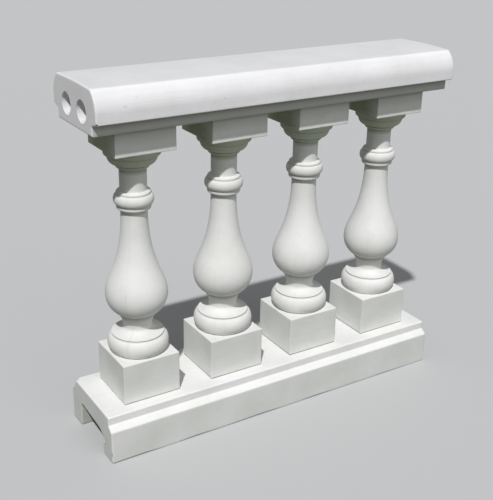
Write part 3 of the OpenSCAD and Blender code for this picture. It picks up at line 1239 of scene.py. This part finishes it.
class NodeSheet:
    """Places and wires the nodes of one tree.

    Attributes:
        tree: The tree that is built.
    """

    def __init__(self, tree: NodeTree) -> None:
        """Starts on an empty tree.

        Args:
            tree: Node tree of a material or a group.
        """
        self.tree = tree
        tree.nodes.clear()

    def node(self, kind: str, settings: dict | None = None, **inputs: object) -> Node:
        """Adds a node.

        Args:
            kind: Blender's name for its type.
            settings: Its own settings.
            **inputs: Values or sockets for its inputs, by name with underscores for blanks.

        Returns:
            The node.
        """
        made = self.tree.nodes.new(kind)
        made.location = (220 * len(self.tree.nodes), 0)
        for key, value in (settings or {}).items():
            setattr(made, key, value)
        for key, value in inputs.items():
            self.put(made, key.replace("_", " "), value)
        return made

    def put(self, made: Node, name: str | int, value: object) -> None:
        """Sets or links one input.

        Args:
            made: Node that has the input.
            name: Name or number of the input.
            value: Socket to link, or value to set.
        """
        if isinstance(value, NodeSocket):
            self.tree.links.new(value, made.inputs[name])
        else:
            made.inputs[name].default_value = value

    def math(self, operation: str, a: object, b: object = 0.0, clamp: bool = False) -> NodeSocket:
        """Adds a Math node.

        Args:
            operation: What it does.
            a: First input.
            b: Second input.
            clamp: Whether the result stays between 0 and 1.

        Returns:
            Its output.
        """
        made = self.node("ShaderNodeMath", {"operation": operation, "use_clamp": clamp})
        self.put(made, 0, a)
        self.put(made, 1, b)
        return made.outputs[0]

    def times(self, a: object, b: object) -> NodeSocket:
        """Multiplies two values or sockets."""
        return self.math("MULTIPLY", a, b)

    def plus(self, a: object, b: object) -> NodeSocket:
        """Adds two values or sockets."""
        return self.math("ADD", a, b)

    def range(self, value: object, low: float, high: float, to: float = 1.0) -> NodeSocket:
        """Maps a range smoothly to 0 and another end.

        Args:
            value: Input value.
            low: Value that gives 0.
            high: Value that gives the other end.
            to: The other end.

        Returns:
            The mapped value.
        """
        made = self.node("ShaderNodeMapRange", {"interpolation_type": "SMOOTHSTEP"}, Value=value,
                         From_Min=low, From_Max=high, To_Min=0.0, To_Max=to)
        return made.outputs["Result"]

    def mix(self, factor: object, a: object, b: object) -> NodeSocket:
        """Adds a colour Mix node.

        Args:
            factor: Share of the second colour.
            a: First colour.
            b: Second colour.

        Returns:
            The mixed colour.
        """
        made = self.node("ShaderNodeMix", {"data_type": "RGBA"})
        self.put(made, 0, factor)
        self.put(made, 6, a)
        self.put(made, 7, b)
        return made.outputs[2]

    def noise(self, vector: object, scale: object, detail: float = 2.0, rough: float = 0.5) -> NodeSocket:
        """Adds a noise texture.

        Args:
            vector: Where it is read.
            scale: Cells per metre.
            detail: Octaves.
            rough: Weight of the finer octaves.

        Returns:
            The noise value.
        """
        made = self.node("ShaderNodeTexNoise", Vector=vector, Scale=scale, Detail=detail, Roughness=rough)
        return made.outputs["Fac"]

    def mask(self, mask: Mask) -> NodeSocket:
        """Reads one of the mesh's masks."""
        return self.node("ShaderNodeAttribute", {"attribute_name": mask.value}).outputs["Fac"]

    def seen(self) -> NodeSocket:
        """Tells the rays that show the room, as 1, from those that light the piece.

        Returns:
            1 for camera, glossy and transmission rays, or else 0.
        """
        path = self.node("ShaderNodeLightPath")
        direct = self.plus(path.outputs["Is Camera Ray"], path.outputs["Is Glossy Ray"])
        return self.math("ADD", direct, path.outputs["Is Transmission Ray"], clamp=True)


@dataclass(frozen=True)
class Effect:
    """A shared effect: a node group with named inputs and outputs.

    Attributes:
        name: Name of the group.
        inputs: Names and default values of the inputs beside Vector.
        outputs: Names of the float outputs.
    """

    name: str
    inputs: tuple[tuple[str, float | Triple], ...]
    outputs: tuple[str, ...]

    def start(self) -> tuple[NodeSheet, Node, Node]:
        """Makes the empty group.

        Returns:
            Its sheet, its input node and its output node.
        """
        tree = bpy.data.node_groups.new(self.name, "ShaderNodeTree")
        tree.interface.new_socket("Vector", in_out="INPUT", socket_type="NodeSocketVector")
        for name, value in self.inputs:
            kind = "NodeSocketVector" if isinstance(value, tuple) else "NodeSocketFloat"
            tree.interface.new_socket(name, in_out="INPUT", socket_type=kind).default_value = value
        for name in self.outputs:
            tree.interface.new_socket(name, in_out="OUTPUT", socket_type="NodeSocketFloat")
        sheet = NodeSheet(tree)
        return sheet, sheet.node("NodeGroupInput"), sheet.node("NodeGroupOutput")


class Effects:
    """The effects that the finishes share, each built once."""

    def __init__(self) -> None:
        """Builds all groups."""
        self.grain = self._grain()
        self.pinholes = self._pinholes()
        self.strokes = self._strokes()
        self.clouding = self._clouding()

    def _grain(self) -> NodeTree:
        """Sandy grain in two sizes.

        Returns:
            The group.
        """
        sheet, given, out = Effect("StoneGrain", (("Scale", 900.0), ("Coarse", 75.0)),
                                   ("Grain", "Height")).start()
        fine = sheet.noise(given.outputs["Vector"], given.outputs["Scale"], detail=3.0, rough=0.65)
        coarse = sheet.noise(given.outputs["Vector"], given.outputs["Coarse"], detail=4.0, rough=0.6)
        for name, share in (("Grain", 0.55), ("Height", 0.35)):
            blend = sheet.plus(sheet.times(fine, share), sheet.times(coarse, 1.0 - share))
            sheet.put(out, name, blend)
        return sheet.tree

    def _pinholes(self) -> NodeTree:
        """Small air holes of mixed sizes, in few of the cells.

        Returns:
            The group.
        """
        sheet, given, out = Effect("AirHoles", (("Scale", 75.0), ("Share", 0.2), ("Size", 0.06)),
                                   ("Hole",)).start()
        cells = sheet.node("ShaderNodeTexVoronoi", {"feature": "F1"},
                           Vector=given.outputs["Vector"], Scale=given.outputs["Scale"])
        split = sheet.node("ShaderNodeSeparateColor", Color=cells.outputs["Color"])
        chosen = sheet.math("LESS_THAN", split.outputs[0], given.outputs["Share"])
        size = sheet.times(sheet.plus(sheet.times(split.outputs[1], 0.8), 0.3),
                          given.outputs["Size"])
        away = sheet.math("DIVIDE", cells.outputs["Distance"], size)
        inside = sheet.math("SUBTRACT", 1.0, away, clamp=True)
        sheet.put(out, "Hole", sheet.times(chosen, inside))
        return sheet.tree

    def _strokes(self) -> NodeTree:
        """Faint drawn-out strokes of a brush or a mould's skin.

        Returns:
            The group.
        """
        sheet, given, out = Effect("Strokes", (("Scale", 210.0), ("Stretch", (1.0, 1.0, 0.05))),
                                   ("Stroke",)).start()
        drawn = sheet.node("ShaderNodeVectorMath", {"operation": "MULTIPLY"})
        sheet.put(drawn, 0, given.outputs["Vector"])
        sheet.put(drawn, 1, given.outputs["Stretch"])
        fine = sheet.noise(drawn.outputs[0], given.outputs["Scale"], detail=3.0, rough=0.6)
        sheet.put(out, "Stroke", fine)
        return sheet.tree

    def _clouding(self) -> NodeTree:
        """Broad soft clouds of tone, and a patchier film over them.

        Returns:
            The group.
        """
        sheet, given, out = Effect("Clouding", (("Scale", 9.0),), ("Cloud", "Film")).start()
        wide = sheet.noise(given.outputs["Vector"], given.outputs["Scale"], detail=3.0, rough=0.55)
        patch = sheet.noise(given.outputs["Vector"], sheet.times(given.outputs["Scale"], 3.3),
                            detail=5.0, rough=0.6)
        sheet.put(out, "Cloud", sheet.range(wide, 0.3, 0.7))
        film = sheet.times(sheet.range(wide, 0.42, 0.7), sheet.range(patch, 0.4, 0.72))
        sheet.put(out, "Film", film)
        return sheet.tree


@dataclass(frozen=True)
class Strokes:
    """Drawn-out marks in one direction.

    Attributes:
        run: Stretch of the pattern along X, Y and Z.
        share: Strength in the colour.
        where: Mask of the faces that have them, or None for all.
    """

    run: Triple
    share: float
    where: Mask | None = None


@dataclass(frozen=True)
class StoneFinish:
    """A cement-bound surface.

    Attributes:
        name: Name of the material.
        body: Main colour.
        shade: Colour of the deeper clouds.
        film: Colour of the thin film of dirt.
        dust_and_shade: Colour of the dust and of the painted shade in the recesses.
        broken: Colour where the skin is off.
        aged_and_shade: Colour of the faces that the weather has greyed, and of the painted shade on the
            bottom rail's ends and the coping's shoulder.
        moss_and_green_shade_colour: Colour of the faces with a green film, and of the painted green shade.
        cloud: Strength of the clouds.
        film_share: Strength of the film.
        strokes: Strokes of the tool or the mould.
        grain: Strength of the grain in the colour.
        roughness: Mean roughness.
        relief: Height of the grain, in metres.
        holes: Share of cells with an air hole.
        offset: Shifts the pattern, so that two finishes differ.
    """

    name: str
    body: Colour
    shade: Colour
    film: Colour
    dust_and_shade: Colour
    broken: Colour
    aged_and_shade: Colour
    moss_and_green_shade_colour: Colour = (0.36, 0.43, 0.24, 1.0)
    cloud: float = 0.6
    film_share: float = 0.4
    strokes: tuple[Strokes, ...] = ()
    grain: float = 0.12
    roughness: float = 0.82
    relief: float = 0.00022
    holes: float = 0.16
    offset: Triple = (0.0, 0.0, 0.0)

    def build(self, effects: Effects) -> Material:
        """Builds the material.

        Args:
            effects: The shared groups.

        Returns:
            The material.
        """
        material = bpy.data.materials.new(self.name)
        material.use_nodes = True
        sheet = NodeSheet(material.node_tree)
        where = sheet.node("ShaderNodeTexCoord").outputs["Object"]
        place = sheet.node("ShaderNodeMapping", Vector=where, Location=self.offset).outputs[0]
        grain = self._group(sheet, effects.grain, place)
        hole = self._group(sheet, effects.pinholes, place, Share=self.holes).outputs["Hole"]
        strokes = [self._stroke(sheet, effects, place, marks) for marks in self.strokes]
        raw = sheet.mask(Mask.RAW)
        colour = self._colour(sheet, effects, place, grain.outputs["Grain"], hole, raw, strokes)
        rough = sheet.plus(sheet.times(grain.outputs["Grain"], 0.16), self.roughness - 0.08)
        rough = sheet.math("ADD", rough, sheet.times(raw, 0.06), clamp=True)
        coarser = sheet.plus(1.0, sheet.times(raw, 1.6))
        height = sheet.times(grain.outputs["Height"], coarser)
        for stroke in strokes:
            height = sheet.math("SUBTRACT", height, stroke)
        height = sheet.math("SUBTRACT", height, sheet.times(hole, 3.0))
        bump = sheet.node("ShaderNodeBump", Strength=0.7, Distance=self.relief, Height=height)
        shader = sheet.node("ShaderNodeBsdfPrincipled", Base_Color=colour, Roughness=rough,
                            Normal=bump.outputs["Normal"])
        shader.inputs["Specular IOR Level"].default_value = 0.35
        sheet.node("ShaderNodeOutputMaterial", Surface=shader.outputs[0])
        return material

    def _colour(self, sheet: NodeSheet, effects: Effects, place: NodeSocket,
                grain: NodeSocket, hole: NodeSocket, raw: NodeSocket,
                strokes: list[NodeSocket]) -> NodeSocket:
        """Lays the colours over each other.

        Args:
            sheet: Sheet of the material.
            effects: The shared groups.
            place: Coordinates that the patterns read.
            grain: The grain.
            hole: Mask of the air holes.
            raw: Mask of the broken spots.
            strokes: Patterns of the strokes.

        Returns:
            The colour.
        """
        clouds = self._group(sheet, effects.clouding, place)
        cloud, film = clouds.outputs["Cloud"], clouds.outputs["Film"]
        colour = sheet.mix(sheet.times(cloud, self.cloud), self.body, self.shade)
        # weathered grey, with the painted shade that its mask carries
        worn = sheet.times(sheet.mask(Mask.AGED_AND_SHADE), sheet.plus(0.7, sheet.times(cloud, 0.3)))
        colour = sheet.mix(worn, colour, self.aged_and_shade)
        # green film, with the painted green shade that its mask carries
        green = sheet.times(sheet.mask(Mask.MOSS_AND_GREEN_SHADE), sheet.plus(0.65, sheet.times(film, 0.35)))
        colour = sheet.mix(green, colour, self.moss_and_green_shade_colour)
        colour = sheet.mix(sheet.times(film, self.film_share), colour, self.film)
        for stroke in strokes:
            colour = sheet.mix(stroke, colour, self.film)
        colour = sheet.mix(sheet.range(grain, 0.5, 0.72, self.grain), colour, self.dust_and_shade)
        colour = sheet.mix(sheet.times(raw, 0.6), colour, self.broken)
        # dust and painted shade, from their mask
        dust_and_shade = sheet.math("MULTIPLY", sheet.mask(Mask.DUST_AND_SHADE), 0.75, clamp=True)
        colour = sheet.mix(dust_and_shade, colour, self.dust_and_shade)
        return sheet.mix(sheet.range(hole, 0.0, 0.6, 0.7), colour, self.dust_and_shade)

    def _stroke(self, sheet: NodeSheet, effects: Effects, place: NodeSocket,
                marks: Strokes) -> NodeSocket:
        """Draws one kind of strokes.

        Args:
            sheet: Sheet of the material.
            effects: The shared groups.
            place: Coordinates that the pattern reads.
            marks: Direction, strength and place of the strokes.

        Returns:
            Their pattern.
        """
        drawn = self._group(sheet, effects.strokes, place, Stretch=marks.run).outputs["Stroke"]
        pattern = sheet.range(drawn, 0.45, 0.75, marks.share)
        return sheet.times(pattern, sheet.mask(marks.where)) if marks.where else pattern

    def _group(self, sheet: NodeSheet, tree: NodeTree, place: NodeSocket,
               **inputs: float | Triple) -> Node:
        """Places a shared group.

        Args:
            sheet: Sheet of the material.
            tree: The group.
            place: Coordinates that it reads.
            **inputs: Its other inputs.

        Returns:
            The group's node.
        """
        return sheet.node("ShaderNodeGroup", {"node_tree": tree}, Vector=place, **inputs)


CAST_STONE = StoneFinish(
    name="cast_stone_turned",
    body=(0.81, 0.81, 0.795, 1.0),
    shade=(0.72, 0.725, 0.705, 1.0),
    film=(0.68, 0.68, 0.62, 1.0),
    dust_and_shade=(0.28, 0.295, 0.245, 1.0),
    broken=(0.66, 0.655, 0.62, 1.0),
    aged_and_shade=(0.68, 0.69, 0.685, 1.0),
    strokes=(Strokes((0.8, 0.8, 0.05), 0.17, Mask.TURNED), Strokes((0.09, 0.09, 0.5), 0.55, Mask.FLOATED)),
)
RAIL_STONE = StoneFinish(
    name="cast_stone_rail",
    body=(0.815, 0.815, 0.81, 1.0),
    shade=(0.755, 0.76, 0.75, 1.0),
    film=(0.69, 0.69, 0.64, 1.0),
    dust_and_shade=(0.28, 0.295, 0.245, 1.0),
    broken=(0.66, 0.655, 0.62, 1.0),
    aged_and_shade=(0.66, 0.675, 0.67, 1.0),
    strokes=(Strokes((0.05, 0.6, 0.6), 0.22),),
    offset=(3.1, 1.7, 0.4),
)
# The rail stone made lighter and bluer for the top rail: painted sky light.
SKY_TINTED_COPING_STONE = replace(
    RAIL_STONE,
    name="cast_stone_coping_sky_tinted",
    body=(0.842, 0.832, 0.857, 1.0),
    shade=(0.765, 0.76, 0.775, 1.0),
    film=(0.70, 0.705, 0.68, 1.0),
    aged_and_shade=(0.665, 0.67, 0.685, 1.0),
    strokes=(Strokes((0.05, 0.6, 0.6), 0.25), Strokes((0.10, 0.5, 0.5), 1.0, Mask.AGED_AND_SHADE)),
    offset=(0.4, 2.3, 1.9),
)
MORTAR = StoneFinish(
    name="mortar_raked",
    body=(0.36, 0.345, 0.30, 1.0),
    shade=(0.27, 0.26, 0.225, 1.0),
    film=(0.22, 0.20, 0.16, 1.0),
    dust_and_shade=(0.10, 0.095, 0.08, 1.0),
    broken=(0.40, 0.39, 0.35, 1.0),
    aged_and_shade=(0.30, 0.29, 0.26, 1.0),
    grain=0.4,
    roughness=0.92,
    relief=0.0005,
)


@dataclass(frozen=True)
class Lamp:
    """A far lamp.

    Attributes:
        name: Name of the lamp.
        source: Direction that its light comes from.
        power: Strength.
        soft: Angle that it fills, in degrees.
    """

    name: str
    source: Triple
    power: float
    soft: float

    def build(self) -> None:
        """Makes the lamp."""
        data = bpy.data.lights.new(self.name, "SUN")
        data.energy = self.power
        data.angle = math.radians(self.soft)
        lamp = put_in_scene(self.name, data)
        lamp.rotation_mode = "QUATERNION"
        lamp.rotation_quaternion = Vector(self.source).to_track_quat("Z", "Y")


@dataclass(frozen=True)
class Studio:
    """Camera, lamps and floor.

    Attributes:
        focal_px: Focal length in pixels of the 493 by 500 photograph.
        eye: Camera position, in millimetres.
        pitch: Turn of the camera about its X axis, in radians.
        roll: Turn about its Y axis.
        yaw: Turn about Z.
        lamps: Key light and fill.
        sky: Strength of the even light.
        backdrop: Strength with which the room shows behind the floor.
        floor_seen: Colour in which the floor shows.
        floor_bounce: Colour with which it lights the piece.
    """

    focal_px: float = 888.66
    eye: Triple = (-1192.9, -1797.0, 1332.3)
    pitch: float = 1.1682
    roll: float = -0.0483
    yaw: float = -0.5134
    lamps: tuple[Lamp, ...] = (
        Lamp("Key", (-44.0, -53.0, 101.0), 2.92, 1.5),
        Lamp("Fill", (0.3, -1.0, 0.14), 0.56, 45.0),
    )
    sky: float = 0.23
    backdrop: float = 0.555
    floor_seen: Colour = (0.52, 0.525, 0.53, 1.0)
    floor_bounce: Colour = (0.077, 0.085, 0.069, 1.0)

    def build(self) -> None:
        """Makes the camera, the lamps, the world and the floor."""
        self._camera()
        for lamp in self.lamps:
            lamp.build()
        self._world()
        self._floor()

    def _camera(self) -> None:
        """Sets the camera at the photograph's place."""
        data = bpy.data.cameras.new("Camera")
        data.sensor_width = 36.0
        data.lens = self.focal_px / 500.0 * data.sensor_width
        data.clip_start, data.clip_end = 0.05, 60.0
        camera = put_in_scene("Camera", data)
        turn = Matrix.Rotation(self.yaw, 4, "Z") @ Matrix.Rotation(self.pitch, 4, "X")
        turn = turn @ Matrix.Rotation(self.roll, 4, "Y")
        camera.matrix_world = Matrix.Translation(Vector(self.eye) * MM) @ turn
        bpy.context.scene.camera = camera

    def _world(self) -> None:
        """Makes the even light of the room."""
        world = bpy.data.worlds.new("Room")
        world.use_nodes = True
        sheet = NodeSheet(world.node_tree)
        extra = sheet.times(sheet.seen(), self.backdrop - self.sky)
        light = sheet.node("ShaderNodeBackground", Color=(0.97, 0.985, 1.0, 1.0),
                           Strength=sheet.plus(self.sky, extra))
        sheet.node("ShaderNodeOutputWorld", Surface=light.outputs[0])
        bpy.context.scene.world = world

    def _floor(self) -> None:
        """Lays the pale floor, which bounces less light than it shows."""
        bm = bmesh.new()
        bmesh.ops.create_grid(bm, x_segments=1, y_segments=1, size=30.0)
        mesh = bpy.data.meshes.new("Floor")
        bm.to_mesh(mesh)
        bm.free()
        floor = put_in_scene("Floor", mesh)
        material = bpy.data.materials.new("pale_floor")
        material.use_nodes = True
        sheet = NodeSheet(material.node_tree)
        colour = sheet.mix(sheet.seen(), self.floor_bounce, self.floor_seen)
        shader = sheet.node("ShaderNodeBsdfPrincipled", Base_Color=colour, Roughness=0.9)
        sheet.node("ShaderNodeOutputMaterial", Surface=shader.outputs[0])
        mesh.materials.append(material)


BOTTOM_BREAKS = (
    # the inner edge of the front leg has broken out at the left end
    Break((-500.0, -73.0, 46.0), (30.0, 17.0, 11.5), (0.0, -11.5, 0.0), steep=2.2, ragged=0.3),
    # slit on the left front arris
    Break((-502.0, -121.0, 24.0), (2.2, 1.6, 8.5), (1.2, 1.2, 0.0), steep=2.0, finest=0.5, dust_and_shade=1.0),
    # pit in the seat at the right end
    Break((481.0, -72.0, 122.0), (2.6, 2.6, 2.6), (0.0, 0.0, -1.8), finest=0.5, dust_and_shade=0.7),
    # worn corner of the seat at the back of the left end
    Break((-505.0, 109.0, 125.0), (18.0, 20.0, 18.0), (2.6, -3.4, -3.6)),
)
TOP_BREAKS = (
    # corner of the lip at the left end
    Break((-501.0, -119.5, 843.2), (4.4, 4.0, 3.4), (1.4, 2.2, 1.6), finest=0.5, dust_and_shade=1.2),
    # pits in the nose
    Break((-434.0, -119.6, 874.5), (5.5, 5.0, 5.0), (0.0, 0.4, -0.2), finest=0.9, dust_and_shade=0.2),
    Break((-403.2, -114.1, 892.1), (4.5, 4.0, 4.0), (0.0, 0.3, -0.2), finest=0.8, dust_and_shade=0.13),
    Break((-192.0, -120.5, 866.0), (5.0, 5.0, 4.5), (0.0, 0.3, -0.1), finest=0.8, dust_and_shade=0.11),
    Break((-218.0, -120.5, 860.2), (4.0, 4.0, 3.5), (0.0, 0.2, -0.1), finest=0.8, dust_and_shade=0.08),
)


class Bay:
    """The whole bay: it builds each piece and dresses it."""

    def __init__(self) -> None:
        """Builds the shared effects and the finishes."""
        effects = Effects()
        self.turned = CAST_STONE.build(effects)
        self.rail = RAIL_STONE.build(effects)
        self.sky_tinted_coping = SKY_TINTED_COPING_STONE.build(effects)
        self.mortar = MORTAR.build(effects)

    def add(self, piece: Object, node: str, slot: Slot, material: Material) -> None:
        """Dresses a piece and puts it in place of its node.

        Args:
            piece: The finished mesh object.
            node: CAD node that it stands for.
            slot: Kind of its material; not used.
            material: Its finish.
        """
        piece.data.materials.append(material)
        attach(piece, "root")
        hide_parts(node)

    def build(self) -> None:
        """Builds rails, balusters and beds in order."""
        for rail, finish in ((BottomRail("bottom_rail", 3, breaks=BOTTOM_BREAKS), self.rail),
                             (TopRail("top_rail", 7, breaks=TOP_BREAKS), self.sky_tinted_coping)):
            self.add(rail.build(), rail.node, Slot.STONE, finish)
        count = sum(1 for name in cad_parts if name.startswith("baluster_"))
        for i in range(1, count + 1):
            casting = Baluster(f"baluster_{i}", 10 + i, seam_dust=0.2 if i == 1 else 0.1)
            self.add(casting.build(), casting.node, Slot.STONE, self.turned)
            for level in ("lower", "upper"):
                bed = MortarBed(f"{level}_bed_{i}", 20 + i)
                self.add(bed.build(), bed.node, Slot.MORTAR, self.mortar)


def main() -> None:
    """Builds the bay and the studio."""
    logging.basicConfig(level=logging.INFO, format="%(message)s")
    bpy.context.scene.view_settings.view_transform = "Standard"
    Studio().build()
    Bay().build()


if __name__ == "__main__":
    main()
